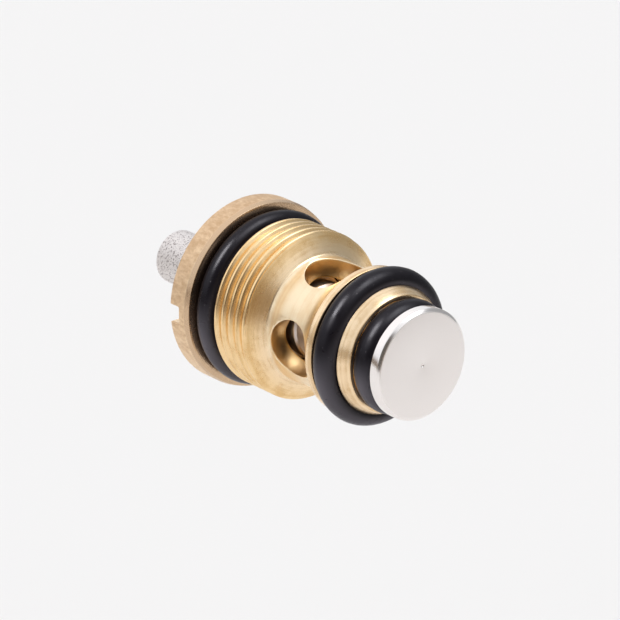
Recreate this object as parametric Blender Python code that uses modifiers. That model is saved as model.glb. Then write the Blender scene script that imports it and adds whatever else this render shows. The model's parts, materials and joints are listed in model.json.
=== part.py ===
"""Diverter valve cartridge: a screw-in brass body with a spring-loaded push-pin poppet.

The valve's axis is world X.  The origin is the centre of the flange's seating face, the poppet
head points to +X and the push pin to -X.  Pushing the pin towards +X lifts the head off the nose.

Every turned piece is drawn as a half section of (radius, station) points in millimetres, where a
station is the distance along the axis from the seating face, positive towards the head.
"""

import math

import bmesh
import bpy
from mathutils import Matrix

MM = 0.001
SIDES = 56                      # facets round every turned piece
RING_SIDES = 48                 # facets round every O-ring
MERGE = 1e-6                    # metres

# Flange and thread (M16 x 1)
FLANGE_RADIUS = 9.0
FLANGE_THICKNESS = 2.6
FLANGE_EDGE_LENGTH = 0.55        # shallow chamfer at the front of the rim
FLANGE_EDGE_DROP = 0.14
FLANGE_GROOVE_RADIUS = 6.55
SLOT_WIDTH = 1.8
SLOT_DEPTH = 1.35
SLOT_CLOCKING = 1.6             # degrees from world Y towards world Z
THREAD_RADIUS = 8.0
THREAD_PITCH = 1.0
THREAD_DEPTH = 0.58
THREAD_ROOT_FLAT = 0.2
THREAD_START = 2.4
THREAD_END = 6.9
THREAD_FLANK = math.radians(30)

# Neck with its ports, and the nose
NECK_RADIUS = 5.95
NECK_START = 7.78
SHOULDER_FOOT_RADIUS = 6.16
PORT_RADIUS = 2.75
PORT_STATION = 10.92
PORT_COUNT = 4
PORT_CLOCKING = 6.2             # degrees from world Y towards world Z
FLARE_RADIUS = 3.3
FLARE_START = 12.05
LIP_RADIUS = 7.0
LIP_BACK = 14.4
NOSE_GROOVE_BACK = 15.2
NOSE_GROOVE_FRONT = 17.6
NOSE_GROOVE_RADIUS = 5.12
NOSE_BACK_RADIUS = 6.1
NOSE_FRONT_RADIUS = 5.52
NOSE_FRONT = 18.85

# Bores inside the body, from the head end backwards
FLOW_BORE_RADIUS = 4.15
SEAT_CHAMFER = 1.02
WEB_FRONT = 5.0
WEB_BACK = 4.1
WEB_BORE_RADIUS = 3.4
SPRING_BORE_RADIUS = 4.6

# Stem and poppet head
STEM_RADIUS = 2.6
STEM_SHOULDER = 17.35
SPIGOT_RADIUS = 1.8
SPIGOT_END = 21.5
PIN_END = -13.14
CLIP_GROOVE_RADIUS = 2.2
HEAD_FRONT = 22.3
HEAD_BACK = 21.0
HEAD_RADIUS = 5.25
HEAD_CHAMFER = 0.25
HUB_RADIUS = 2.95
HUB_COLLAR_RADIUS = 3.5
HUB_COLLAR_FRONT = 18.6
HUB_BACK = 17.4

# O-rings: ring radius, wire radius, station
FLANGE_RING = (7.5, 0.9, 0.95)
NOSE_RING = (6.33, 1.12, 16.42)
POPPET_RING = (4.2, 1.2, 19.65)

# Clearances
FIT_GAP = 0.05                  # between pieces that rest on or press into each other
RUNNING_GAP = 0.06              # between the sliding stem and its guide

# Washer, clip and spring behind the web
CLIP_BACK = -2.25
CLIP_FRONT = -1.8
CLIP_RADIUS = 3.7
CLIP_MOUTH = 3.4
WASHER_RADIUS = 4.4
WASHER_THICKNESS = 0.55
BUSH_COLLAR_RADIUS = 4.5
BUSH_COLLAR_THICKNESS = 0.5
SPRING_WIRE = 0.5
SPRING_RADIUS = 3.6             # to the wire's centre
SPRING_TURNS = 4.0
SPRING_CLOSED_TURN = 0.5        # closed part of a turn at each end

# Seal stack in front of the web
SEAL_WIRE_RADIUS = 0.56
RETAINER_FLANGE_BACK = 6.2
RETAINER_FLANGE_FRONT = 6.75
RETAINER_NECK_RADIUS = 2.95
RETAINER_NOSE_BACK = 7.5
RETAINER_NOSE_RADIUS = 3.65
RETAINER_NOSE_END = 9.0

BRASS = ("brass", (0.78, 0.57, 0.27), 0.28, 1.0)
NICKEL = ("polished_nickel", (0.72, 0.70, 0.67), 0.18, 1.0)
STEEL = ("stem_steel", (0.60, 0.59, 0.57), 0.35, 1.0)
SPRING_STEEL = ("spring_steel", (0.42, 0.41, 0.40), 0.30, 1.0)
RUBBER = ("black_rubber", (0.012, 0.012, 0.014), 0.45, 0.0)


def clear_scene():
    for obj in list(bpy.data.objects):
        bpy.data.objects.remove(obj, do_unlink=True)


def new_collection(name):
    collection = bpy.data.collections.new(name)
    bpy.context.scene.collection.children.link(collection)
    return collection


def material(spec):
    name, colour, roughness, metallic = spec
    found = bpy.data.materials.get(name)
    if found:
        return found
    made = bpy.data.materials.new(name)
    made.use_nodes = True
    shader = made.node_tree.nodes["Principled BSDF"]
    shader.inputs["Base Color"].default_value = (*colour, 1.0)
    shader.inputs["Roughness"].default_value = roughness
    shader.inputs["Metallic"].default_value = metallic
    return made


def add_empty(name, collection, parent=None):
    empty = bpy.data.objects.new(name, None)
    empty.parent = parent
    collection.objects.link(empty)
    return empty


def arc(centre_radius, centre_station, radius, start_deg, end_deg, count):
    """Points of an arc in the half section, angles measured from the outward radial direction."""
    points = []
    for i in range(count + 1):
        angle = math.radians(start_deg + (end_deg - start_deg) * i / count)
        points.append((centre_radius + radius * math.cos(angle), centre_station + radius * math.sin(angle)))
    return points


def section_object(name, outline, collection, closed=True):
    """A half section as loose edges in the XZ plane, ready for a Screw modifier."""
    mesh = bpy.data.meshes.new(name)
    edges = [(i, i + 1) for i in range(len(outline) - 1)]
    if closed:
        edges.append((len(outline) - 1, 0))
    mesh.from_pydata([(r * MM, 0.0, z * MM) for r, z in outline], edges, [])
    obj = bpy.data.objects.new(name, mesh)
    collection.objects.link(obj)
    return obj


def add_screw(obj, steps, turns=1, advance=0.0):
    screw = obj.modifiers.new("turn", "SCREW")
    screw.axis = "Z"
    screw.angle = 2 * math.pi
    screw.steps = steps
    screw.render_steps = steps
    screw.iterations = turns
    screw.screw_offset = advance
    screw.use_merge_vertices = True
    screw.merge_threshold = MERGE
    screw.use_smooth_shade = True


def turned(name, outline, spec, collection, parent, closed=True):
    """A turned piece; its outline starts at the head end and runs down the outer side."""
    obj = section_object(name, outline, collection, closed)
    add_screw(obj, SIDES)
    obj.data.materials.append(material(spec))
    obj.parent = parent
    return obj


def ring(name, ring_radius, wire_radius, station, spec, collection, parent):
    """An O-ring lying in a plane across the axis."""
    bpy.ops.mesh.primitive_torus_add(
        major_segments=RING_SIDES, minor_segments=10,
        major_radius=ring_radius * MM, minor_radius=wire_radius * MM,
    )
    obj = bpy.context.object
    for owner in obj.users_collection:
        owner.objects.unlink(obj)
    collection.objects.link(obj)
    obj.name = name
    obj.data.name = name
    obj.parent = parent
    obj.location = (0.0, 0.0, station * MM)
    obj.data.materials.append(material(spec))
    obj.data.shade_smooth()
    return obj


def mark_cutter(obj):
    obj.hide_render = True
    obj.display_type = "WIRE"


def cut(obj, cutter, name):
    boolean = obj.modifiers.new(name, "BOOLEAN")
    boolean.operation = "DIFFERENCE"
    boolean.solver = "EXACT"
    boolean.object = cutter


def bmesh_object(name, bm, collection):
    mesh = bpy.data.meshes.new(name)
    bm.to_mesh(mesh)
    bm.free()
    obj = bpy.data.objects.new(name, mesh)
    collection.objects.link(obj)
    return obj


def thread_groove(collection, parent):
    """The helical groove of a right-hand thread, as a closed solid to cut away."""
    flank_slope = math.tan(THREAD_FLANK)
    mouth = THREAD_RADIUS + 0.06
    root = THREAD_RADIUS - THREAD_DEPTH
    half_root = THREAD_ROOT_FLAT / 2
    half_mouth = half_root + (mouth - root) * flank_slope
    start = THREAD_START - 0.9 * THREAD_PITCH
    outline = [
        (mouth, start + half_mouth),
        (mouth, start - half_mouth),
        (root, start - half_root),
        (root, start + half_root),
    ]
    turns = math.ceil((THREAD_END - THREAD_START) / THREAD_PITCH) + 1
    helix = section_object("thread_groove_section", outline, collection)
    add_screw(helix, SIDES, turns, THREAD_PITCH * MM)
    bpy.context.view_layer.update()
    evaluated = helix.evaluated_get(bpy.context.evaluated_depsgraph_get())
    mesh = bpy.data.meshes.new_from_object(evaluated)
    bpy.data.objects.remove(helix, do_unlink=True)
    bm = bmesh.new()
    bm.from_mesh(mesh)
    bmesh.ops.remove_doubles(bm, verts=bm.verts, dist=MERGE)
    open_edges = [edge for edge in bm.edges if edge.is_boundary]
    bmesh.ops.holes_fill(bm, edges=open_edges, sides=0)
    bmesh.ops.recalc_face_normals(bm, faces=bm.faces)
    cutter = bmesh_object("thread_groove", bm, collection)
    cutter.parent = parent
    mark_cutter(cutter)
    return cutter


def port_cutter(index, collection, parent):
    """One radial port drill, reaching from the axis out past the neck."""
    length = 9.0
    bm = bmesh.new()
    bmesh.ops.create_cone(
        bm, cap_ends=True, segments=32, depth=length * MM,
        radius1=PORT_RADIUS * MM, radius2=PORT_RADIUS * MM,
    )
    bmesh.ops.translate(bm, verts=bm.verts, vec=(0.0, 0.0, length / 2 * MM))
    cutter = bmesh_object(f"port_drill_{index}", bm, collection)
    cutter.parent = parent
    cutter.location = (0.0, 0.0, PORT_STATION * MM)
    # The parent's +Y is world +Y and its -X is world +Z.
    clocking = math.radians(PORT_CLOCKING + index * 360 / PORT_COUNT)
    point_outwards = Matrix.Rotation(-math.pi / 2, 4, "X")
    cutter.rotation_euler = (Matrix.Rotation(clocking, 4, "Z") @ point_outwards).to_euler()
    mark_cutter(cutter)
    return cutter


def slot_cutter(collection, parent):
    """The tool slot across the flange's back face."""
    overshoot = 0.5
    bm = bmesh.new()
    bmesh.ops.create_cube(bm, size=1.0)
    depth = SLOT_DEPTH + overshoot
    bmesh.ops.scale(bm, verts=bm.verts, vec=(SLOT_WIDTH * MM, 2.4 * FLANGE_RADIUS * MM, depth * MM))
    cutter = bmesh_object("tool_slot", bm, collection)
    cutter.parent = parent
    cutter.location = (0.0, 0.0, (-FLANGE_THICKNESS - overshoot + depth / 2) * MM)
    cutter.rotation_euler = (0.0, 0.0, math.radians(SLOT_CLOCKING))
    mark_cutter(cutter)
    return cutter


def body_outline():
    """Half section of the brass body, nose first."""
    flare_centre = NECK_RADIUS + FLARE_RADIUS
    flare_top = math.degrees(math.asin((LIP_BACK - FLARE_START) / FLARE_RADIUS))
    nose = [
        (FLOW_BORE_RADIUS + SEAT_CHAMFER, NOSE_FRONT),
        (NOSE_FRONT_RADIUS - 0.12, NOSE_FRONT),
        (NOSE_FRONT_RADIUS, NOSE_FRONT - 0.1),
        (NOSE_BACK_RADIUS, NOSE_GROOVE_FRONT),
        (NOSE_GROOVE_RADIUS, NOSE_GROOVE_FRONT),
        (NOSE_GROOVE_RADIUS, NOSE_GROOVE_BACK),
        (LIP_RADIUS - 0.08, NOSE_GROOVE_BACK),
        (LIP_RADIUS, NOSE_GROOVE_BACK - 0.1),
    ]
    flare = arc(flare_centre, FLARE_START, FLARE_RADIUS, 180 - flare_top, 180, 6)
    foot = [
        (NECK_RADIUS, NECK_START + 0.6),
        (NECK_RADIUS + 0.05, NECK_START + 0.25),
        (SHOULDER_FOOT_RADIUS, NECK_START),
        (THREAD_RADIUS - 0.15, THREAD_END + 0.07),
        (THREAD_RADIUS, THREAD_END - 0.08),
    ]
    thread_and_flange = [
        (THREAD_RADIUS, THREAD_START + 0.05),
        (THREAD_RADIUS - 0.05, THREAD_START),
        (FLANGE_GROOVE_RADIUS, THREAD_START),
        (FLANGE_GROOVE_RADIUS, 0.0),
        (FLANGE_RADIUS - FLANGE_EDGE_DROP, 0.0),
        (FLANGE_RADIUS, -FLANGE_EDGE_LENGTH),
        (FLANGE_RADIUS, -FLANGE_THICKNESS + 0.15),
        (FLANGE_RADIUS - 0.15, -FLANGE_THICKNESS),
    ]
    bore = [
        (SPRING_BORE_RADIUS, -FLANGE_THICKNESS),
        (SPRING_BORE_RADIUS, WEB_BACK),
        (WEB_BORE_RADIUS, WEB_BACK),
        (WEB_BORE_RADIUS, WEB_FRONT),
        (FLOW_BORE_RADIUS, WEB_FRONT),
        (FLOW_BORE_RADIUS, NOSE_FRONT - SEAT_CHAMFER),
    ]
    return nose + flare + foot + thread_and_flange + bore


def make_valve_body(parts, cutters, axis):
    body = turned("valve_body", body_outline(), BRASS, parts, axis)
    cut(body, thread_groove(cutters, axis), "thread")
    for index in range(PORT_COUNT):
        cut(body, port_cutter(index, cutters, axis), f"port_{index}")
    cut(body, slot_cutter(cutters, axis), "tool_slot")


def make_fixed_rings(parts, axis):
    ring("flange_o_ring", *FLANGE_RING, RUBBER, parts, axis)
    ring("nose_o_ring", *NOSE_RING, RUBBER, parts, axis)
    seal_radius = STEM_RADIUS + 0.03 + SEAL_WIRE_RADIUS
    seal_station = WEB_FRONT + 0.03 + SEAL_WIRE_RADIUS
    ring("stem_seal_o_ring", seal_radius, SEAL_WIRE_RADIUS, seal_station, RUBBER, parts, axis)


def make_guide_bush(parts, axis):
    """Brass bush through the web: guides the stem, and its collar takes the spring."""
    sleeve = WEB_BORE_RADIUS - FIT_GAP
    bore = STEM_RADIUS + RUNNING_GAP
    collar_front = WEB_BACK - FIT_GAP
    collar_back = collar_front - BUSH_COLLAR_THICKNESS
    sleeve_end = WEB_FRONT - FIT_GAP
    outline = [
        (sleeve - 0.1, sleeve_end),
        (sleeve, sleeve_end - 0.1),
        (sleeve, collar_front),
        (BUSH_COLLAR_RADIUS, collar_front),
        (BUSH_COLLAR_RADIUS, collar_back),
        (bore, collar_back),
        (bore, sleeve_end),
    ]
    turned("guide_bush", outline, BRASS, parts, axis)


def make_seal_retainer(parts, axis):
    """Steel ring that holds the stem seal against the web; its nose shows through the ports."""
    bore = STEM_RADIUS + 0.08
    rim = FLOW_BORE_RADIUS - FIT_GAP
    outline = [
        (RETAINER_NOSE_RADIUS - 0.2, RETAINER_NOSE_END),
        (RETAINER_NOSE_RADIUS, RETAINER_NOSE_END - 0.2),
        (RETAINER_NOSE_RADIUS, RETAINER_NOSE_BACK),
        (RETAINER_NECK_RADIUS, RETAINER_NOSE_BACK),
        (RETAINER_NECK_RADIUS, RETAINER_FLANGE_FRONT),
        (rim, RETAINER_FLANGE_FRONT),
        (rim, RETAINER_FLANGE_BACK),
        (bore, RETAINER_FLANGE_BACK),
        (bore, RETAINER_NOSE_END),
    ]
    turned("seal_retainer", outline, STEEL, parts, axis)


def spring_ends():
    """Stations of the spring's two end faces: on the washer, and on the bush collar."""
    back = CLIP_FRONT + FIT_GAP + WASHER_THICKNESS + FIT_GAP
    front = WEB_BACK - FIT_GAP - BUSH_COLLAR_THICKNESS - FIT_GAP
    return back, front


def spring_station(turn, back, front):
    """Station of the wire's centre after a number of turns, with closed end turns."""
    closed_rise = SPRING_CLOSED_TURN * SPRING_WIRE
    open_turns = SPRING_TURNS - 2 * SPRING_CLOSED_TURN
    first = back + SPRING_WIRE / 2
    last = front - SPRING_WIRE / 2
    open_rise = last - first - 2 * closed_rise
    if turn < SPRING_CLOSED_TURN:
        return first + turn * SPRING_WIRE
    if turn > SPRING_TURNS - SPRING_CLOSED_TURN:
        return last - (SPRING_TURNS - turn) * SPRING_WIRE
    return first + closed_rise + (turn - SPRING_CLOSED_TURN) / open_turns * open_rise


def make_return_spring(parts, axis):
    back, front = spring_ends()
    points_per_turn = 20
    count = round(SPRING_TURNS * points_per_turn) + 1
    curve = bpy.data.curves.new("return_spring", "CURVE")
    curve.dimensions = "3D"
    curve.bevel_depth = SPRING_WIRE / 2 * MM
    curve.bevel_resolution = 2
    curve.use_fill_caps = True
    spline = curve.splines.new("POLY")
    spline.points.add(count - 1)
    for i in range(count):
        turn = i / points_per_turn
        angle = 2 * math.pi * turn
        x = SPRING_RADIUS * math.cos(angle)
        y = SPRING_RADIUS * math.sin(angle)
        spline.points[i].co = (x * MM, y * MM, spring_station(turn, back, front) * MM, 1.0)
    spring = bpy.data.objects.new("return_spring", curve)
    parts.objects.link(spring)
    spring.parent = axis
    curve.materials.append(material(SPRING_STEEL))


def make_poppet_head(parts, slide):
    """Turned head with a parting pip on its face and a blind socket for the stem's spigot."""
    socket = SPIGOT_RADIUS + 0.03
    outline = [
        (0.0, HEAD_FRONT + 0.08),
        (0.16, HEAD_FRONT + 0.06),
        (0.26, HEAD_FRONT),
        (HEAD_RADIUS - HEAD_CHAMFER, HEAD_FRONT),
        (HEAD_RADIUS, HEAD_FRONT - HEAD_CHAMFER),
        (HEAD_RADIUS, HEAD_BACK + 0.1),
        (HEAD_RADIUS - 0.1, HEAD_BACK),
        (HUB_RADIUS, HEAD_BACK),
        (HUB_RADIUS, HUB_COLLAR_FRONT),
        (HUB_COLLAR_RADIUS, HUB_COLLAR_FRONT),
        (HUB_COLLAR_RADIUS, HUB_COLLAR_FRONT - 0.66),
        (HUB_COLLAR_RADIUS - 0.75, HUB_BACK),
        (socket, HUB_BACK),
        (socket, SPIGOT_END + 0.1),
        (0.0, SPIGOT_END + 0.1),
    ]
    turned("poppet_head", outline, NICKEL, parts, slide, closed=False)


def make_poppet_stem(parts, slide):
    """Round stem: spigot for the head, groove for the clip, and the push pin at its far end."""
    clip_slack = 0.03
    outline = [
        (0.0, SPIGOT_END),
        (SPIGOT_RADIUS - 0.15, SPIGOT_END),
        (SPIGOT_RADIUS, SPIGOT_END - 0.15),
        (SPIGOT_RADIUS, STEM_SHOULDER),
        (STEM_RADIUS, STEM_SHOULDER),
        (STEM_RADIUS, CLIP_FRONT + clip_slack),
        (CLIP_GROOVE_RADIUS, CLIP_FRONT + clip_slack),
        (CLIP_GROOVE_RADIUS, CLIP_BACK - clip_slack),
        (STEM_RADIUS, CLIP_BACK - clip_slack),
        (STEM_RADIUS, PIN_END + 0.25),
        (STEM_RADIUS - 0.25, PIN_END),
        (0.0, PIN_END),
    ]
    turned("poppet_stem", outline, STEEL, parts, slide, closed=False)


def make_spring_seat_washer(parts, slide):
    front = CLIP_FRONT + FIT_GAP + WASHER_THICKNESS
    back = CLIP_FRONT + FIT_GAP
    bore = STEM_RADIUS + 0.08
    outline = [(WASHER_RADIUS, front), (WASHER_RADIUS, back), (bore, back), (bore, front)]
    turned("spring_seat_washer", outline, STEEL, parts, slide)


def make_retaining_clip(parts, cutters, slide):
    """Open ring that snaps sideways into the stem's groove."""
    bore = CLIP_GROOVE_RADIUS + 0.03
    outline = [(CLIP_RADIUS, CLIP_FRONT), (CLIP_RADIUS, CLIP_BACK), (bore, CLIP_BACK), (bore, CLIP_FRONT)]
    clip = turned("stem_retaining_clip", outline, SPRING_STEEL, parts, slide)
    bm = bmesh.new()
    bmesh.ops.create_cube(bm, size=1.0)
    bmesh.ops.scale(bm, verts=bm.verts, vec=(2 * CLIP_RADIUS * MM, CLIP_MOUTH * MM, 2 * MM))
    bmesh.ops.translate(bm, verts=bm.verts, vec=(CLIP_RADIUS * MM, 0.0, 0.0))
    mouth = bmesh_object("clip_mouth", bm, cutters)
    mouth.parent = slide
    mouth.location = (0.0, 0.0, (CLIP_FRONT + CLIP_BACK) / 2 * MM)
    mark_cutter(mouth)
    cut(clip, mouth, "mouth")


def build():
    clear_scene()
    parts = new_collection("diverter_valve")
    cutters = new_collection("cutters")
    # The pieces are turned about the empty's Z, which lies along world X.
    axis = add_empty("valve_axis", parts)
    axis.rotation_euler = (0.0, math.pi / 2, 0.0)
    slide = add_empty("poppet_slide", parts, axis)
    make_valve_body(parts, cutters, axis)
    make_fixed_rings(parts, axis)
    make_guide_bush(parts, axis)
    make_seal_retainer(parts, axis)
    make_return_spring(parts, axis)
    make_poppet_head(parts, slide)
    make_poppet_stem(parts, slide)
    ring("poppet_o_ring", *POPPET_RING, RUBBER, parts, slide)
    make_spring_seat_washer(parts, slide)
    make_retaining_clip(parts, cutters, slide)


build()
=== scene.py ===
"""The look of the diverter valve: fine turned surfaces, materials, floor, light and camera.

The valve's axis is world X, and the origin is the centre of the flange's seating face.  Turned
pieces are outlines of (radius, station, corner radius) points in millimetres, where a station is
the distance along the axis from that face.  Angles go round the axis from world Y to world Z.
"""

import json
import math

import bmesh
import bpy
import numpy as np
from mathutils import Matrix, Vector


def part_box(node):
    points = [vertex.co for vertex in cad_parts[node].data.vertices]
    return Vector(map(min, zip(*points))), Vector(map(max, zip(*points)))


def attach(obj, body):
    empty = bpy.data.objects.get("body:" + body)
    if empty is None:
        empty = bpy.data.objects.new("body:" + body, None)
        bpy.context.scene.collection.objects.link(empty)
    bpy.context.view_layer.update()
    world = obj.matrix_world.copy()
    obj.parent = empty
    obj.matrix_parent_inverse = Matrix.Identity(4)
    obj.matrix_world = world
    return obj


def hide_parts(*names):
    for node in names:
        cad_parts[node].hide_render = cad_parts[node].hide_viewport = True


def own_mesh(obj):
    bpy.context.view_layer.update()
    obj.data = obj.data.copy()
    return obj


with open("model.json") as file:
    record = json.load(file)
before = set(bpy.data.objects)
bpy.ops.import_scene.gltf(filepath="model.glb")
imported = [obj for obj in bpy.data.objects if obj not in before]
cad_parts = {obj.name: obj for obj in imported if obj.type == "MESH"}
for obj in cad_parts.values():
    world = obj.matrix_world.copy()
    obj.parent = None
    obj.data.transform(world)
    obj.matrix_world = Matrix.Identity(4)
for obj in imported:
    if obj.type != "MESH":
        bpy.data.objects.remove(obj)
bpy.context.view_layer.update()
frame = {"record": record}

MM = 0.001
COLUMNS = 288                   # facets round a turned piece
CORNER_STEPS = 3                # facets along a rounded corner
CORNER_SHARE = 0.45             # most of a side that a rounded corner may take
WELD = 1e-7                     # metres
SHARP_ANGLE = math.radians(38)

# Valve body: radii and stations that give it its main shape
FLANGE_RADIUS = 9.0
FLANGE_BACK = -2.6
FLANGE_GROOVE_RADIUS = 6.55
NOSE_RADIUS = 7.0
NOSE_GROOVE_RADIUS = 5.12
NOSE_GROOVE_START = 15.2
NOSE_GROOVE_END = 17.6
NOSE_END = 18.85
CAVITY_RADIUS = 4.6
WEB_RADIUS = 3.4                # the hole in the web between the cavity and the flow bore
WEB_BACK = 4.1
WEB_FRONT = 5.0
BORE_RADIUS = 4.15

# Thread, M16 x 1
THREAD_RADIUS = 8.0
THREAD_PITCH = 1.0
THREAD_DEPTH = 0.48
THREAD_START = 2.4
THREAD_END = 6.9
CREST_HALF_FLAT = 0.12
CREST_STATION = 6.65            # centre of a crest, at the angle below
CREST_ANGLE = math.radians(145)

# Neck, ports and tool slot
NECK_RADIUS = 5.95
FLARE_RADIUS = 3.3
FLARE_START = 12.05
FLARE_END = 14.4
PORT_RADIUS = 2.72
PORT_STATION = 10.92
PORT_COUNT = 4
PORT_CLOCKING = math.radians(6.2)
PORT_EDGE = 0.08                # width of the broken edge round a port
SLOT_WIDTH = 1.8
SLOT_FLOOR = -1.25
SLOT_CLOCKING = math.radians(1.6)

# O-rings: ring radius, wire radius, station
FLANGE_RING = (7.5, 0.9, 0.95)
NOSE_RING = (6.33, 1.12, 16.42)
POPPET_RING = (4.2, 1.2, 19.65)
STEM_SEAL = (3.19, 0.56, 5.59)

# Poppet and the pieces on its stem
STEM_RADIUS = 2.6
CLIP_GROOVE_RADIUS = 2.2
STEM_HOLE_RADIUS = 2.68         # of the pieces that the stem slides through or carries
PIN_END = -13.14
HEAD_RADIUS = 5.25
HEAD_HUB_RADIUS = 2.95
HEAD_FACE = 22.3

# Return spring
SPRING_WIRE = 0.5
SPRING_RADIUS = 3.6
SPRING_TURNS = 4.0
SPRING_CLOSED_TURN = 0.5


# ---------------------------------------------------------------- turned surfaces

def rounded(outline, closed=True):
    """The outline with each corner that has a corner radius replaced by a small arc."""
    points = [Vector(point[:2]) for point in outline]
    corners = [point[2] if len(point) > 2 else 0.0 for point in outline]
    result = []
    count = len(points)
    for i, (corner, radius) in enumerate(zip(points, corners)):
        at_end = not closed and i in (0, count - 1)
        if radius == 0.0 or at_end:
            result.append(tuple(corner))
            continue
        before = points[i - 1] - corner
        after = points[(i + 1) % count] - corner
        turn = math.pi - before.angle(after)
        longest = CORNER_SHARE * min(before.length, after.length)
        trim = min(radius * math.tan(turn / 2), longest)
        start = corner + before.normalized() * trim
        end = corner + after.normalized() * trim
        for step in range(CORNER_STEPS + 1):
            t = step / CORNER_STEPS
            point = start * (1 - t) ** 2 + corner * 2 * t * (1 - t) + end * t ** 2
            result.append(tuple(point))
    return result


def arc(centre_radius, centre_station, radius, start_deg, end_deg, count):
    """Points of an arc in the half section, angles measured from the outward radial direction."""
    angles = np.radians(np.linspace(start_deg, end_deg, count + 1))
    return [
        (centre_radius + radius * math.cos(angle), centre_station + radius * math.sin(angle))
        for angle in angles
    ]


def weld_outward(mesh):
    """Welds coincident points and turns every face of a closed mesh outwards."""
    bm = bmesh.new()
    bm.from_mesh(mesh)
    bmesh.ops.remove_doubles(bm, verts=bm.verts, dist=WELD)
    bmesh.ops.recalc_face_normals(bm, faces=bm.faces)
    if bm.calc_volume(signed=True) < 0:
        bmesh.ops.reverse_faces(bm, faces=bm.faces)
    bm.to_mesh(mesh)
    bm.free()
    return mesh


def turned_mesh(name, rows, closed):
    """Rows of (radius, station), each a number or one number per column, turned into a mesh."""
    angles = np.linspace(0, 2 * math.pi, COLUMNS + 1)
    radii = np.array([np.broadcast_to(row[0], angles.shape) for row in rows])
    stations = np.array([np.broadcast_to(row[1], angles.shape) for row in rows])
    points = np.stack([stations, radii * np.cos(angles), radii * np.sin(angles)], axis=-1) * MM
    width = COLUMNS + 1
    faces = []
    for i in range(len(rows) if closed else len(rows) - 1):
        low = i * width
        high = (i + 1) % len(rows) * width
        faces.extend((low + j, low + j + 1, high + j + 1, high + j) for j in range(COLUMNS))
    mesh = bpy.data.meshes.new(name)
    mesh.from_pydata(points.reshape(-1, 3).tolist(), [], faces)
    return weld_outward(mesh)


def finish_mesh(mesh):
    """Smooth shading that stops at the sharp edges."""
    mesh.shade_smooth()
    mesh.set_sharp_from_angle(angle=SHARP_ANGLE)


def add_object(name, data):
    obj = bpy.data.objects.new(name, data)
    bpy.context.scene.collection.objects.link(obj)
    return obj


def place(obj, node, material):
    """Gives a piece its material, and puts it in the place of its CAD node."""
    obj.data.materials.clear()
    obj.data.materials.append(material)
    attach(obj, body_of_node(node))
    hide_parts(node)
    return obj


def body_of_node(node):
    """Name of the rigid body that a CAD node belongs to."""
    bodies = frame["record"]["behaviour"]["bodies"]
    return next(body for body, nodes in bodies.items() if node in nodes)


def turned(node, outline, material, closed=True):
    """A piece turned from an outline, which is open where both its ends lie on the axis."""
    mesh = turned_mesh(node + "_fine", rounded(outline, closed), closed)
    finish_mesh(mesh)
    place(add_object(node + "_fine", mesh), node, material)


# ---------------------------------------------------------------- valve body

def soft_limit(value, low, high, softness):
    """value held between low and high, with rounded shoulders."""
    above = 0.5 * (value + low + np.sqrt((value - low) ** 2 + softness ** 2))
    return 0.5 * (above + high - np.sqrt((high - above) ** 2 + softness ** 2))


def thread_radius(station, angle):
    """Radius of a right-hand 60 degree thread at a station and an angle."""
    turns = (station - CREST_STATION) / THREAD_PITCH - (angle - CREST_ANGLE) / (2 * math.pi)
    from_crest = np.abs(turns - np.round(turns)) * THREAD_PITCH
    flank = (from_crest - CREST_HALF_FLAT) * math.tan(math.radians(60))
    softness = 0.05
    return THREAD_RADIUS - soft_limit(flank, 0.0, THREAD_DEPTH, softness)


def thread_rows():
    """Rows that follow the thread's helix, cut off square at both ends of the thread."""
    angles = np.linspace(0, 2 * math.pi, COLUMNS + 1)
    lead = (angles - CREST_ANGLE) / (2 * math.pi) * THREAD_PITCH
    # From crest to root, closer together where the profile bends
    half = np.array([0.0, 0.06, 0.09, 0.115, 0.14, 0.17, 0.24, 0.32, 0.36, 0.39, 0.42, 0.46])
    phases = np.concatenate([half, [0.5], 1 - half[:0:-1]]) * THREAD_PITCH
    # The lead moves a row by up to a turn, so the rows begin a turn early
    first_turn = math.floor((THREAD_START - CREST_STATION) / THREAD_PITCH) - 1
    last_turn = math.ceil((THREAD_END - CREST_STATION) / THREAD_PITCH)
    rows = []
    for turn in range(first_turn, last_turn + 1):
        for phase in phases:
            station = CREST_STATION + turn * THREAD_PITCH + phase + lead
            station = np.clip(station, THREAD_START, THREAD_END)
            rows.append((thread_radius(station, angles), station))
    return rows[::-1]


def neck_surface(station):
    """Radius of the neck and its flare at a station."""
    past = max(0.0, station - FLARE_START)
    return NECK_RADIUS + FLARE_RADIUS - math.sqrt(FLARE_RADIUS ** 2 - past ** 2)


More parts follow.
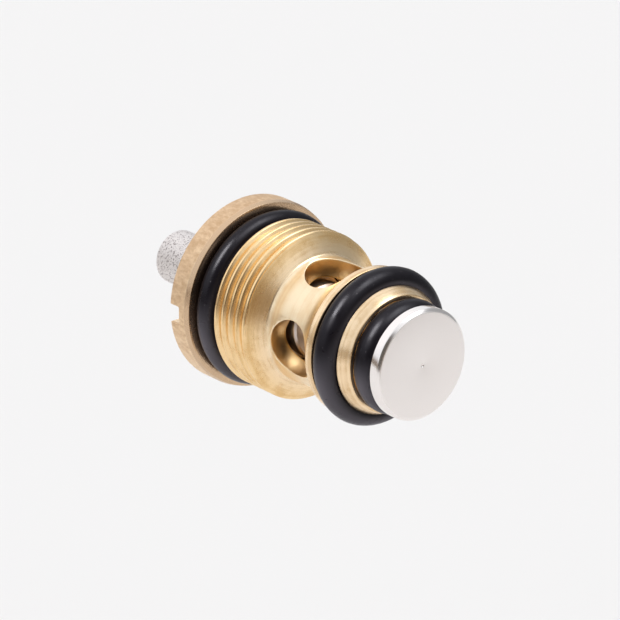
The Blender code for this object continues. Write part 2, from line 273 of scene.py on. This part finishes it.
def body_rows():
    """The body's section, from the nose's end over the outside to the flange and back inside."""
    nose = [
        (5.17, NOSE_END, 0.04),
        (5.52, NOSE_END, 0.1),
        (6.1, NOSE_GROOVE_END, 0.06),
        (NOSE_GROOVE_RADIUS, NOSE_GROOVE_END, 0.12),
        (NOSE_GROOVE_RADIUS, NOSE_GROOVE_START, 0.12),
        (NOSE_RADIUS, NOSE_GROOVE_START, 0.12),
        (NOSE_RADIUS, FLARE_END, 0.1),
    ]
    flare_top = math.degrees(math.asin((FLARE_END - FLARE_START) / FLARE_RADIUS))
    flare = arc(NECK_RADIUS + FLARE_RADIUS, FLARE_START, FLARE_RADIUS, 180 - flare_top, 180, count=16)
    foot = [
        (NECK_RADIUS, 8.75),
        (NECK_RADIUS + 0.01, 8.45),
        (NECK_RADIUS + 0.04, 8.15),
        (NECK_RADIUS + 0.1, 7.92),
        (6.16, 7.78, 0.08),
        (7.9, 6.97, 0.08),
    ]
    flange = [
        (FLANGE_GROOVE_RADIUS, THREAD_START, 0.12),
        (FLANGE_GROOVE_RADIUS, 0.0, 0.12),
        (FLANGE_RADIUS - 0.14, 0.0, 0.04),
        (FLANGE_RADIUS, -0.55, 0.1),
        (FLANGE_RADIUS, FLANGE_BACK + 0.1, 0.08),
        (FLANGE_RADIUS - 0.12, FLANGE_BACK, 0.06),
        (CAVITY_RADIUS + 0.1, FLANGE_BACK, 0.06),
        (CAVITY_RADIUS, FLANGE_BACK + 0.1, 0.05),
    ]
    bore = [
        (CAVITY_RADIUS, WEB_BACK, 0.1),
        (WEB_RADIUS, WEB_BACK, 0.05),
        (WEB_RADIUS, WEB_FRONT, 0.05),
        (BORE_RADIUS, WEB_FRONT, 0.1),
        (BORE_RADIUS, NOSE_END - 1.02, 0.05),
    ]
    front = rounded(nose + flare[1:] + foot, closed=False)
    back = rounded([foot[-1], *flange, *bore, nose[0]], closed=False)[1:-1]
    return front + thread_rows() + back


def ring_of(index, count):
    """Cosine and sine of one of count equal steps round a circle."""
    angle = 2 * math.pi * index / count
    return math.cos(angle), math.sin(angle)


def port_cutter(angle):
    """A radial drill whose rim follows the neck's surface, with a small broken edge.

    A row of its profile is wider than the port by its first number.  It lies at its second number
    above the neck's surface, or at its third number from the axis.
    """
    sides = 96
    clear = 0.12                # how far the drill goes on opening out past the edge
    foot = 1.0
    top = 7.6
    profile = [
        (0.0, None, foot),
        (0.0, -0.10, None),
        (0.3 * PORT_EDGE, -0.03, None),
        (PORT_EDGE, 0.01, None),
        (PORT_EDGE + clear, 0.01 + clear, None),
        (PORT_EDGE + clear, None, top),
    ]
    out = Vector((0, math.cos(angle), math.sin(angle)))
    across = Vector((0, -math.sin(angle), math.cos(angle)))
    verts = []
    for grow, above_surface, height in profile:
        for i in range(sides):
            along_x, along_t = ring_of(i, sides)
            radius = PORT_RADIUS + grow
            station = PORT_STATION + radius * along_x
            sideways = radius * along_t
            level = height
            if level is None:
                level = math.sqrt(neck_surface(station) ** 2 - sideways ** 2) + above_surface
            verts.append((Vector((station, 0, 0)) + out * level + across * sideways) * MM)
    faces = [tuple(range(sides)), tuple(range(len(verts) - sides, len(verts)))]
    for row in range(len(profile) - 1):
        low, high = row * sides, (row + 1) * sides
        for i in range(sides):
            j = (i + 1) % sides
            faces.append((low + i, low + j, high + j, high + i))
    return cutter_from("port_cutter", verts, faces)


def slot_cutter():
    """The tool slot's section, with broken edges and rounded corners, drawn across the flange."""
    half = SLOT_WIDTH / 2
    section = [
        (-half - 0.5, FLANGE_BACK - 0.5),
        (-half - 0.06, FLANGE_BACK - 0.02),
        (-half, FLANGE_BACK + 0.06),
        (-half, SLOT_FLOOR - 0.15),
        (-half + 0.05, SLOT_FLOOR - 0.04),
        (-half + 0.16, SLOT_FLOOR),
    ]
    section += [(-side, station) for side, station in reversed(section)]
    turn = Matrix.Rotation(SLOT_CLOCKING, 3, "X")
    reach = 10.0
    verts = []
    for end in (-reach, reach):
        verts += [turn @ Vector((station, end, side)) * MM for side, station in section]
    count = len(section)
    faces = [tuple(range(count)), tuple(range(count, 2 * count))]
    faces += [(i, (i + 1) % count, count + (i + 1) % count, count + i) for i in range(count)]
    return cutter_from("slot_cutter", verts, faces)


def cutter_from(name, verts, faces):
    """A closed object, in metres, that is taken away from a piece."""
    mesh = bpy.data.meshes.new(name)
    mesh.from_pydata([tuple(vert) for vert in verts], [], faces)
    return add_object(name, weld_outward(mesh))


def cut_all(obj, cutters):
    """Cuts every cutter out of obj, keeps the result as obj's mesh and removes the cutters."""
    for cutter in cutters:
        boolean = obj.modifiers.new(cutter.name, "BOOLEAN")
        boolean.operation = "DIFFERENCE"
        boolean.solver = "MANIFOLD"
        boolean.object = cutter
    bpy.context.view_layer.update()
    evaluated = obj.evaluated_get(bpy.context.evaluated_depsgraph_get())
    mesh = bpy.data.meshes.new_from_object(evaluated)
    obj.modifiers.clear()
    obj.data = mesh
    for cutter in cutters:
        bpy.data.objects.remove(cutter, do_unlink=True)


def make_valve_body(material):
    """The turned body with its ports and its tool slot."""
    body = add_object("valve_body_fine", turned_mesh("valve_body_fine", body_rows(), closed=True))
    ports = [
        port_cutter(PORT_CLOCKING + index * 2 * math.pi / PORT_COUNT)
        for index in range(PORT_COUNT)
    ]
    cut_all(body, [*ports, slot_cutter()])
    finish_mesh(body.data)
    place(body, "valve_body", material)


# ---------------------------------------------------------------- rings and spring

def make_ring(node, ring, material):
    """An O-ring with the faint moulding lines that run round its outside and inside."""
    ring_radius, wire_radius, station = ring
    facets = 64
    line_width = 0.05
    line_height = 0.008
    angles = np.linspace(0, 2 * math.pi, facets, endpoint=False)
    from_line = np.minimum(np.abs(np.sin(angles)) * wire_radius / line_width, 4)
    wire = wire_radius - line_height * (1 - np.exp(-from_line ** 2))
    rows = list(zip(ring_radius + wire * np.cos(angles), station + wire * np.sin(angles)))
    mesh = turned_mesh(node + "_fine", rows, closed=True)
    mesh.shade_smooth()
    return place(add_object(node + "_fine", mesh), node, material)


def spring_station(turn, first, last):
    """Station of the wire's centre: closed end turns with wire on wire, and open turns between."""
    closed_rise = SPRING_CLOSED_TURN * SPRING_WIRE
    open_turns = SPRING_TURNS - 2 * SPRING_CLOSED_TURN
    if turn < SPRING_CLOSED_TURN:
        return first + turn * SPRING_WIRE
    if turn > SPRING_TURNS - SPRING_CLOSED_TURN:
        return last - (SPRING_TURNS - turn) * SPRING_WIRE
    open_rise = last - first - 2 * closed_rise
    return first + closed_rise + (turn - SPRING_CLOSED_TURN) / open_turns * open_rise


def make_spring(material):
    """The return spring, a wire wound in a helix with closed end turns."""
    low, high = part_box("return_spring")
    first = low.x / MM + SPRING_WIRE / 2
    last = high.x / MM - SPRING_WIRE / 2
    per_turn = 48
    count = round(SPRING_TURNS * per_turn) + 1
    curve = bpy.data.curves.new("return_spring_fine", "CURVE")
    curve.dimensions = "3D"
    curve.bevel_depth = SPRING_WIRE / 2 * MM
    curve.bevel_resolution = 5
    curve.use_fill_caps = True
    spline = curve.splines.new("POLY")
    spline.points.add(count - 1)
    for i in range(count):
        turn = i / per_turn
        angle = 2 * math.pi * turn - math.pi / 2
        station = spring_station(turn, first, last)
        y = SPRING_RADIUS * math.cos(angle)
        z = SPRING_RADIUS * math.sin(angle)
        spline.points[i].co = (station * MM, y * MM, z * MM, 1.0)
    wire = add_object("return_spring_wire", curve)
    bpy.context.view_layer.update()
    evaluated = wire.evaluated_get(bpy.context.evaluated_depsgraph_get())
    mesh = bpy.data.meshes.new_from_object(evaluated)
    bpy.data.objects.remove(wire, do_unlink=True)
    finish_mesh(weld_outward(mesh))
    spring = place(add_object("return_spring_fine", mesh), "return_spring", material)
    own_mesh(spring)


# ---------------------------------------------------------------- inner and moving pieces

def make_inner_pieces(brass, steel, spring_steel):
    """The pieces between the flange's back and the ports."""
    turned("guide_bush", [
        (3.35, 4.95, 0.08),
        (3.35, 4.05, 0.03),
        (4.5, 4.05, 0.08),
        (4.5, 3.55, 0.08),
        (2.66, 3.55, 0.08),
        (2.66, 4.95, 0.05),
    ], brass)
    turned("seal_retainer", [
        (3.45, 9.0, 0.03),
        (3.65, 8.8, 0.05),
        (3.65, 7.5, 0.04),
        (2.95, 7.5, 0.05),
        (2.95, 6.75, 0.08),
        (4.1, 6.75, 0.05),
        (4.1, 6.2, 0.05),
        (STEM_HOLE_RADIUS, 6.2, 0.05),
        (STEM_HOLE_RADIUS, 9.0, 0.04),
    ], steel)
    turned("spring_seat_washer", [
        (4.4, -1.2, 0.1),
        (4.4, -1.75, 0.06),
        (STEM_HOLE_RADIUS, -1.75, 0.06),
        (STEM_HOLE_RADIUS, -1.2, 0.08),
    ], steel)
    make_clip(spring_steel)


def make_clip(material):
    """The open ring in the stem's groove, behind the washer."""
    inner_radius = CLIP_GROOVE_RADIUS + 0.03
    outline = [
        (3.7, -1.8, 0.05),
        (3.7, -2.25, 0.05),
        (inner_radius, -2.25, 0.05),
        (inner_radius, -1.8, 0.05),
    ]
    name = "stem_retaining_clip_fine"
    clip = add_object(name, turned_mesh(name, rounded(outline), closed=True))
    cut_all(clip, [clip_mouth()])
    finish_mesh(clip.data)
    place(clip, "stem_retaining_clip", material)


def clip_mouth():
    """The clip's mouth, a block below the axis."""
    half = 1.7
    ends = (-3.0, -1.0)
    heights = (-5.0, -0.01)
    verts = [
        (station * MM, side * MM, height * MM)
        for station in ends
        for side in (-half, half)
        for height in heights
    ]
    faces = [(0, 1, 3, 2), (4, 5, 7, 6), (0, 1, 5, 4), (2, 3, 7, 6), (0, 2, 6, 4), (1, 3, 7, 5)]
    return cutter_from("clip_mouth_cutter", verts, faces)


def make_poppet(nickel, stem_metal):
    """Head with a small centre mark on its face, and the stem with its push pin."""
    head = [
        (0.0, HEAD_FACE - 0.1),
        (0.1, HEAD_FACE - 0.09, 0.05),
        (0.2, HEAD_FACE, 0.05),
        (HEAD_RADIUS - 0.3, HEAD_FACE, 0.12),
        (HEAD_RADIUS, HEAD_FACE - 0.25, 0.2),
        (HEAD_RADIUS, 21.2, 0.12),
        (HEAD_RADIUS - 0.15, 21.0, 0.08),
        (HEAD_HUB_RADIUS, 21.0, 0.15),
        (HEAD_HUB_RADIUS, 18.6, 0.15),
        (3.5, 18.6, 0.06),
        (3.5, 17.94, 0.06),
        (2.75, 17.4, 0.05),
        (1.83, 17.4, 0.05),
        (1.83, 21.6, 0.1),
        (0.0, 21.6),
    ]
    turned("poppet_head", head, nickel, closed=False)
    stem = [
        (0.0, 21.5),
        (1.65, 21.5, 0.05),
        (1.8, 21.35, 0.05),
        (1.8, 17.35, 0.05),
        (STEM_RADIUS, 17.35, 0.08),
        (STEM_RADIUS, -1.77, 0.04),
        (CLIP_GROOVE_RADIUS, -1.77, 0.05),
        (CLIP_GROOVE_RADIUS, -2.28, 0.05),
        (STEM_RADIUS, -2.28, 0.04),
        (STEM_RADIUS, PIN_END + 0.29, 0.12),
        (STEM_RADIUS - 0.3, PIN_END, 0.12),
        (0.0, PIN_END),
    ]
    turned("poppet_stem", stem, stem_metal, closed=False)


# ---------------------------------------------------------------- material nodes

# Linear colours
BODY_BRASS = (0.97, 0.76, 0.52)
BUSH_BRASS = (0.80, 0.58, 0.28)
TARNISH_FADE = (0.80, 0.74, 0.64)       # what tarnish leaves of each channel of those two
# Thread: deeper, warmer brass, painted bounce light between the thread's flanks; the second colour is
# its tarnished tone
THREAD_BOUNCE_PAINTED_BRASS = (0.97, 0.72, 0.42)
THREAD_BOUNCE_PAINTED_TARNISH = (0.82, 0.56, 0.28)
# Neck: paler brass, a painted highlight; the second colour is its tarnished tone
NECK_HIGHLIGHT_PAINTED_BRASS = (0.99, 0.84, 0.61)
NECK_HIGHLIGHT_PAINTED_TARNISH = (0.92, 0.73, 0.49)
# Flange's front face and chamfer: darker brass, painted shade beside the O-ring
FLANGE_FACE_PAINTED_SHADE = (0.68, 0.50, 0.34)
RIM_BRASS = (0.92, 0.72, 0.51)
RIM_STAIN = (0.68, 0.48, 0.30)
# Ports and bore: deeper brass, painted shade inside them
PORT_WALL_PAINTED_SHADE = (0.94, 0.70, 0.40)
BORE_WALL_PAINTED_SHADE = (0.90, 0.60, 0.26)
POLISHED_NICKEL = (0.92, 0.875, 0.85)
TURNED_STEEL = (0.72, 0.63, 0.58)
SPRING_STEEL = (0.42, 0.41, 0.40)
STEM_STEEL = (0.84, 0.80, 0.78)
STEM_PIT = (0.24, 0.195, 0.19)
BLACK_RUBBER = (0.007, 0.006, 0.008)
RUBBER_UNDERSIDE_PAINTED_SHEEN = (0.10, 0.092, 0.105)     # greyer rubber on the underside, a painted sheen of the floor's light
RUBBER_DUST = (0.16, 0.15, 0.16)

# Fades between the body's zones, in stations or radii: a zone is absent at a pair's first number and
# full at its second. The thread, neck, flange face and inside zones carry painted light and shade
THREAD_BOUNCE_PAINTED_ZONE = ((2.0, 2.4), (7.9, 7.0))
NECK_HIGHLIGHT_PAINTED_ZONE = ((7.6, 8.2), (14.5, 14.2))
FLANGE_FACE_PAINTED_SHADE_ZONE = ((-0.62, -0.52), (0.3, 0.1))
INSIDE_PAINTED_SHADE_ZONE = ((4.9, 5.1), (17.6, 17.3))
INSIDE_PAINTED_SHADE_RADIUS = (5.93, 5.8)
BORE_PAINTED_SHADE_RADIUS = (4.35, 4.25)
RIM_STATION = (-0.45, -0.65)
RIM_RADIUS = (8.6, 8.85)
HEAD_FACE_STATION = (22.22, 22.28)
PIN_STATION = (-2.4, -3.2)


class Nodes:
    """A small helper that adds and links the nodes of one material or world."""

    def __init__(self, tree):
        self.tree = tree

    def add(self, kind, inputs=None, **settings):
        node = self.tree.nodes.new(kind)
        for key, value in settings.items():
            setattr(node, key, value)
        for key, value in (inputs or {}).items():
            self.set(node.inputs[key], value)
        return node

    def set(self, socket, value):
        """Links a socket or gives it a value, which for a colour is a linear RGB triple."""
        if isinstance(value, bpy.types.NodeSocket):
            self.tree.links.new(value, socket)
        elif socket.type == "RGBA":
            socket.default_value = (*value, 1.0)
        else:
            socket.default_value = value

    def math(self, operation, *values):
        node = self.add("ShaderNodeMath", operation=operation)
        for socket, value in zip(node.inputs, values):
            self.set(socket, value)
        return node.outputs[0]

    def plus(self, first, second):
        return self.math("ADD", first, second)

    def times(self, first, second):
        return self.math("MULTIPLY", first, second)

    def vector(self, x, y, z):
        return self.add("ShaderNodeCombineXYZ", {"X": x, "Y": y, "Z": z}).outputs[0]

    def height(self, vector):
        """The Z part of a vector."""
        return self.add("ShaderNodeSeparateXYZ", {0: vector}).outputs["Z"]

    def noise(self, vector, scale, detail, roughness=0.5):
        node = self.add("ShaderNodeTexNoise", {
            "Vector": vector, "Scale": scale, "Detail": detail, "Roughness": roughness,
        })
        return node.outputs["Fac"]

    def step(self, value, low, high, to_low=0.0, to_high=1.0):
        """A smooth step from to_low, where value is low, to to_high, where it is high."""
        node = self.add("ShaderNodeMapRange", {
            "Value": value, "From Min": low, "From Max": high, "To Min": to_low, "To Max": to_high,
        }, interpolation_type="SMOOTHSTEP")
        return node.outputs[0]

    def between(self, value, fade_in, fade_out):
        """1 between two fades, and 0 outside them."""
        return self.times(self.step(value, *fade_in), self.step(value, *fade_out))

    def mix(self, factor, first, second):
        """A mix of two colours, through the node's colour sockets."""
        node = self.add("ShaderNodeMix", {6: first, 7: second}, data_type="RGBA")
        self.set(node.inputs["Factor"], factor)
        return node.outputs[2]

    def bump(self, height, distance, strength):
        inputs = {"Height": height, "Distance": distance, "Strength": strength}
        return self.add("ShaderNodeBump", inputs).outputs[0]

    def position(self):
        """Position of the shaded point in millimetres."""
        metres = self.add("ShaderNodeTexCoord").outputs["Object"]
        scaled = self.add("ShaderNodeVectorMath", {0: metres}, operation="SCALE")
        self.set(scaled.inputs["Scale"], 1 / MM)
        return scaled.outputs[0]

    def axis_coordinates(self):
        """Station, radius and position of the shaded point in millimetres."""
        position = self.position()
        station, y, z = self.add("ShaderNodeSeparateXYZ", {0: position}).outputs
        radius = self.math("SQRT", self.plus(self.times(y, y), self.times(z, z)))
        return station, radius, position


def new_material(name, base, roughness, metallic=1.0):
    """A material with its uniform values set, and what is needed to add nodes to it."""
    material = bpy.data.materials.new(name)
    material.use_nodes = True
    nodes = Nodes(material.node_tree)
    shader = material.node_tree.nodes["Principled BSDF"]
    nodes.set(shader.inputs["Base Color"], base)
    nodes.set(shader.inputs["Roughness"], roughness)
    nodes.set(shader.inputs["Metallic"], metallic)
    return material, nodes, shader


def turning_marks(nodes, station, radius, position, per_mm):
    """Fine rings left by the lathe tool, slightly uneven round the part."""
    wobble = nodes.times(nodes.noise(position, scale=0.35, detail=1.0), 0.8)
    across = nodes.plus(nodes.times(station, per_mm), wobble)
    outward = nodes.times(radius, per_mm)
    section = nodes.vector(across, outward, 0.0)
    return nodes.noise(section, scale=1.0, detail=3.0, roughness=0.6)


def make_brass(name, base, roughness):
    """Turned brass with tool marks and tarnish, in a different tone on each zone of the body, some
    tones painted light and shade.
    """
    material, nodes, shader = new_material(name, base, roughness)
    station, radius, position = nodes.axis_coordinates()
    rings = turning_marks(nodes, station, radius, position, per_mm=9.0)
    bands = turning_marks(nodes, station, radius, position, per_mm=2.4)
    blotches = nodes.noise(position, scale=0.55, detail=4.0, roughness=0.6)
    tarnish = nodes.step(nodes.times(nodes.plus(blotches, bands), 0.5), 0.42, 0.64)
    # The neck's mask carries a painted highlight in the colour, and adds roughness
    neck = nodes.between(station, *NECK_HIGHLIGHT_PAINTED_ZONE)
    rim = dull_rim(nodes, station, radius)
    tarnished = [channel * fade for channel, fade in zip(base, TARNISH_FADE)]
    colour = nodes.mix(tarnish, base, tarnished)
    # Painted bounce light on the thread, a painted highlight on the neck, painted shade on the
    # flange's face and inside the ports and bore
    zones = [
        (nodes.between(station, *THREAD_BOUNCE_PAINTED_ZONE), nodes.mix(tarnish, THREAD_BOUNCE_PAINTED_BRASS, THREAD_BOUNCE_PAINTED_TARNISH)),
        (neck, nodes.mix(tarnish, NECK_HIGHLIGHT_PAINTED_BRASS, NECK_HIGHLIGHT_PAINTED_TARNISH)),
        (nodes.between(station, *FLANGE_FACE_PAINTED_SHADE_ZONE), FLANGE_FACE_PAINTED_SHADE),
        (rim, rim_colour(nodes, position)),
        (inside_painted_shade_mask(nodes, station, radius), inside_painted_shade_colour(nodes, radius)),
    ]
    for zone, zone_colour in zones:
        colour = nodes.mix(zone, colour, zone_colour)
    nodes.set(shader.inputs["Base Color"], colour)
    rough = nodes.step(blotches, 0.3, 0.8, to_low=roughness - 0.04, to_high=roughness + 0.08)
    for layer, amount in ((rings, 0.06), (rim, 0.25), (bands, 0.08), (neck, 0.1)):
        rough = nodes.plus(rough, nodes.times(layer, amount))
    nodes.set(shader.inputs["Roughness"], rough)
    nodes.set(shader.inputs["Normal"], nodes.bump(rings, distance=0.012 * MM, strength=0.6))
    nodes.set(shader.inputs["Anisotropic"], 0.55)
    round_axis = nodes.add("ShaderNodeTangent", direction_type="RADIAL", axis="X")
    nodes.set(shader.inputs["Tangent"], round_axis.outputs[0])
    return material


def dull_rim(nodes, station, radius):
    """1 on the flange's dull rim, fading out just inside the back face's edge."""
    return nodes.times(nodes.step(station, *RIM_STATION), nodes.step(radius, *RIM_RADIUS))


def rim_colour(nodes, position):
    """Dull brass with stains drawn out a little along the axis, heavier towards the top."""
    drawn_out = nodes.add("ShaderNodeVectorMath", {0: position, 1: (0.6, 1.0, 1.0)},
                          operation="MULTIPLY")
    stain = nodes.noise(drawn_out.outputs[0], scale=2.0, detail=6.0, roughness=0.7)
    stain = nodes.plus(stain, nodes.times(nodes.height(position), 0.012))
    return nodes.mix(nodes.step(stain, 0.30, 0.74), RIM_BRASS, RIM_STAIN)


def inside_painted_shade_mask(nodes, station, radius):
    """1 on the walls of the ports and the flow bore, where shade is painted."""
    return nodes.times(nodes.between(station, *INSIDE_PAINTED_SHADE_ZONE), nodes.step(radius, *INSIDE_PAINTED_SHADE_RADIUS))


def inside_painted_shade_colour(nodes, radius):
    """Painted shade: deeper brass on the ports' walls, deeper still on the wall of the bore."""
    return nodes.mix(nodes.step(radius, *BORE_PAINTED_SHADE_RADIUS), PORT_WALL_PAINTED_SHADE, BORE_WALL_PAINTED_SHADE)


def make_nickel():
    """Polished nickel plate, satin on the head's face."""
    roughness = 0.14
    material, nodes, shader = new_material("polished_nickel", POLISHED_NICKEL, roughness)
    station, radius, position = nodes.axis_coordinates()
    rings = turning_marks(nodes, station, radius, position, per_mm=12.0)
    grain = nodes.noise(position, scale=14.0, detail=3.0, roughness=0.6)
    face = nodes.step(station, *HEAD_FACE_STATION)
    rough = nodes.plus(nodes.times(face, 0.16), nodes.times(grain, 0.08))
    nodes.set(shader.inputs["Roughness"], nodes.plus(rough, roughness))
    relief = nodes.plus(nodes.times(rings, 0.6), nodes.times(grain, 0.5))
    nodes.set(shader.inputs["Normal"], nodes.bump(relief, distance=0.004 * MM, strength=0.5))
    return material


def make_steel(name, base, roughness):
    """Turned steel with fine tool marks."""
    material, nodes, shader = new_material(name, base, roughness)
    rings = turning_marks(nodes, *nodes.axis_coordinates(), per_mm=8.0)
    rough = nodes.step(rings, 0.2, 0.8, to_low=roughness - 0.05, to_high=roughness + 0.1)
    nodes.set(shader.inputs["Roughness"], rough)
    nodes.set(shader.inputs["Normal"], nodes.bump(rings, distance=0.01 * MM, strength=0.5))
    return material


def make_stem_metal():
    """Bright ground stem whose push pin has a rough, speckled surface."""
    material, nodes, shader = new_material("stem_steel", STEM_STEEL, roughness=0.3)
    station, _, position = nodes.axis_coordinates()
    pin = nodes.step(station, *PIN_STATION)
    grain = nodes.noise(position, scale=6.5, detail=3.0, roughness=0.65)
    speckle = nodes.times(nodes.step(grain, 0.50, 0.68), pin)
    nodes.set(shader.inputs["Base Color"], nodes.mix(speckle, STEM_STEEL, STEM_PIT))
    nodes.set(shader.inputs["Roughness"], nodes.plus(0.26, nodes.times(pin, 0.25)))
    relief = nodes.times(grain, nodes.plus(0.08, pin))
    nodes.set(shader.inputs["Normal"], nodes.bump(relief, distance=0.08 * MM, strength=0.7))
    return material


def make_rubber():
    """Black rubber with uneven gloss, a painted sheen of the floor's light on its underside and a few
    specks of dust.
    """
    material, nodes, shader = new_material("black_rubber", BLACK_RUBBER, roughness=0.3, metallic=0.0)
    nodes.set(shader.inputs["Specular IOR Level"], 0.26)
    nodes.set(shader.inputs["Specular Tint"], (0.97, 0.95, 1.0))
    position = nodes.position()
    grain = nodes.noise(position, scale=9.0, detail=4.0, roughness=0.6)
    smears = nodes.noise(position, scale=0.8, detail=3.0, roughness=0.55)
    dust = nodes.step(nodes.noise(position, scale=6.0, detail=2.0), 0.74, 0.78)
    facing_up = nodes.height(nodes.add("ShaderNodeTexCoord").outputs["Normal"])
    # Painted sheen: greyer where the surface faces down, standing in for the floor's light
    colour = nodes.mix(nodes.step(facing_up, 0.25, -0.4), BLACK_RUBBER, RUBBER_UNDERSIDE_PAINTED_SHEEN)
    nodes.set(shader.inputs["Base Color"], nodes.mix(dust, colour, RUBBER_DUST))
    rough = nodes.step(smears, 0.3, 0.7, to_low=0.26, to_high=0.4)
    nodes.set(shader.inputs["Roughness"], rough)
    nodes.set(shader.inputs["Normal"], nodes.bump(grain, distance=0.006 * MM, strength=0.5))
    return material


# ---------------------------------------------------------------- stage

# Camera, in metres and as half the picture's width over its distance
EYE = Vector((0.26734, -0.21740, 0.13635))
FORWARD = Vector((-0.71295, 0.59467, -0.37157))
HALF_WIDTH_OVER_DISTANCE = 0.0775
SENSOR_WIDTH = 36.0             # millimetres
NEAREST = 0.01

# Floor, in metres
FLOOR_LEVEL = -0.06
FLOOR_REACH = 0.6
FLOOR_END = 0.25                # the floor ends closer on the side the head points to
FLOOR_ALBEDO = (0.838, 0.818, 0.797)

# Radiance of the light tent: what the camera sees of it, its walls, and what lies under them
BACKDROP = (0.765, 0.765, 0.765)
WALL = (0.78, 0.80, 0.83)
HORIZON = (0.17, 0.125, 0.085)
WALL_FADE = (0.0, 0.16)         # height of the direction, from the horizon to the full wall

# Patches of the tent: direction, half angle of the even part, half angle of the whole, radiance
TENT_PATCHES = [
    ((0.34, 0.38, 0.86), 10, 26, (3.0, 3.1, 3.2)),         # lamp overhead
    ((-0.71, -0.1, 0.7), 25, 50, (0.92, 0.92, 0.94)),      # bright wall above the flange's side
    ((0.75, -0.6, 0.25), 20, 38, (0.13, 0.12, 0.11)),      # dark side that the camera stands on
    ((0.98, -0.17, -0.1), 10, 26, (0.28, 0.22, 0.15)),     # brown ground beyond the floor's end
    ((0.2, 0.95, 0.1), 25, 56, (0.34, 0.35, 0.36)),        # dim wall on the camera's right
]

# Softboxes that only the rubber shows: direction, distance, size and power
RUBBER_LIGHTS = [
    ((0.05, -0.6, 0.8), 0.4, 0.2, 2.0),
    ((0.5, 0.2, 0.84), 0.4, 0.24, 0.7),
]


def make_floor():
    mesh = bpy.data.meshes.new("floor")
    corners = [
        (-FLOOR_REACH, -FLOOR_REACH),
        (FLOOR_END, -FLOOR_REACH),
        (FLOOR_END, FLOOR_REACH),
        (-FLOOR_REACH, FLOOR_REACH),
    ]
    mesh.from_pydata([(x, y, FLOOR_LEVEL) for x, y in corners], [], [(0, 1, 2, 3)])
    floor = add_object("floor", mesh)
    material, nodes, shader = new_material("pale_floor", FLOOR_ALBEDO, roughness=0.9, metallic=0.0)
    nodes.set(shader.inputs["Specular IOR Level"], 0.0)
    mesh.materials.append(material)


def patch(nodes, direction, towards, inner_deg, outer_deg):
    """1 within inner_deg of a direction, fading to 0 at outer_deg."""
    centre = Vector(towards).normalized()
    dot = nodes.add("ShaderNodeVectorMath", {0: direction, 1: centre}, operation="DOT_PRODUCT")
    inner, outer = [math.cos(math.radians(angle)) for angle in (inner_deg, outer_deg)]
    return nodes.step(dot.outputs["Value"], outer, inner)


def make_world():
    """A light tent with a dim brownish room below its walls, past the floor's edge."""
    world = bpy.data.worlds.new("light_tent")
    bpy.context.scene.world = world
    world.use_nodes = True
    nodes = Nodes(world.node_tree)
    direction = nodes.add("ShaderNodeTexCoord").outputs["Generated"]
    colour = nodes.mix(nodes.step(nodes.height(direction), *WALL_FADE), HORIZON, WALL)
    for towards, inner_deg, outer_deg, radiance in TENT_PATCHES:
        colour = nodes.mix(patch(nodes, direction, towards, inner_deg, outer_deg), colour, radiance)
    camera_ray = nodes.add("ShaderNodeLightPath").outputs["Is Camera Ray"]
    colour = nodes.mix(camera_ray, colour, BACKDROP)
    nodes.set(world.node_tree.nodes["Background"].inputs["Color"], colour)


def make_rubber_lights(rubber_pieces):
    """Softboxes linked to the O-rings alone, so that the brass isn't washed out."""
    receivers = bpy.data.collections.new("rubber_light_receivers")
    for piece in rubber_pieces:
        receivers.objects.link(piece)
    for index, (towards, distance, size, power) in enumerate(RUBBER_LIGHTS):
        name = f"rubber_softbox_{index}"
        data = bpy.data.lights.new(name, "AREA")
        data.size = size
        data.energy = power
        light = add_object(name, data)
        direction = Vector(towards).normalized()
        light.location = direction * distance
        light.rotation_euler = direction.to_track_quat("Z", "Y").to_euler()
        light.visible_camera = False
        light.light_linking.receiver_collection = receivers


def make_camera():
    data = bpy.data.cameras.new("camera")
    data.sensor_width = SENSOR_WIDTH
    data.angle = 2 * math.atan(HALF_WIDTH_OVER_DISTANCE)
    data.clip_start = NEAREST
    camera = add_object("camera", data)
    camera.location = EYE
    camera.rotation_euler = FORWARD.to_track_quat("-Z", "Y").to_euler()
    bpy.context.scene.camera = camera


def build():
    brass = make_brass("turned_brass", BODY_BRASS, roughness=0.17)
    bush_brass = make_brass("bush_brass", BUSH_BRASS, roughness=0.28)
    steel = make_steel("turned_steel", TURNED_STEEL, roughness=0.38)
    spring_steel = make_steel("spring_steel", SPRING_STEEL, roughness=0.25)
    rubber = make_rubber()
    make_valve_body(brass)
    rings = [
        make_ring("flange_o_ring", FLANGE_RING, rubber),
        make_ring("nose_o_ring", NOSE_RING, rubber),
        make_ring("poppet_o_ring", POPPET_RING, rubber),
        make_ring("stem_seal_o_ring", STEM_SEAL, rubber),
    ]
    make_spring(spring_steel)
    make_inner_pieces(bush_brass, steel, spring_steel)
    make_poppet(make_nickel(), make_stem_metal())
    make_floor()
    make_world()
    make_rubber_lights(rings)
    make_camera()
    view = bpy.context.scene.view_settings
    view.view_transform = "Standard"
    view.look = "Medium High Contrast"


build()
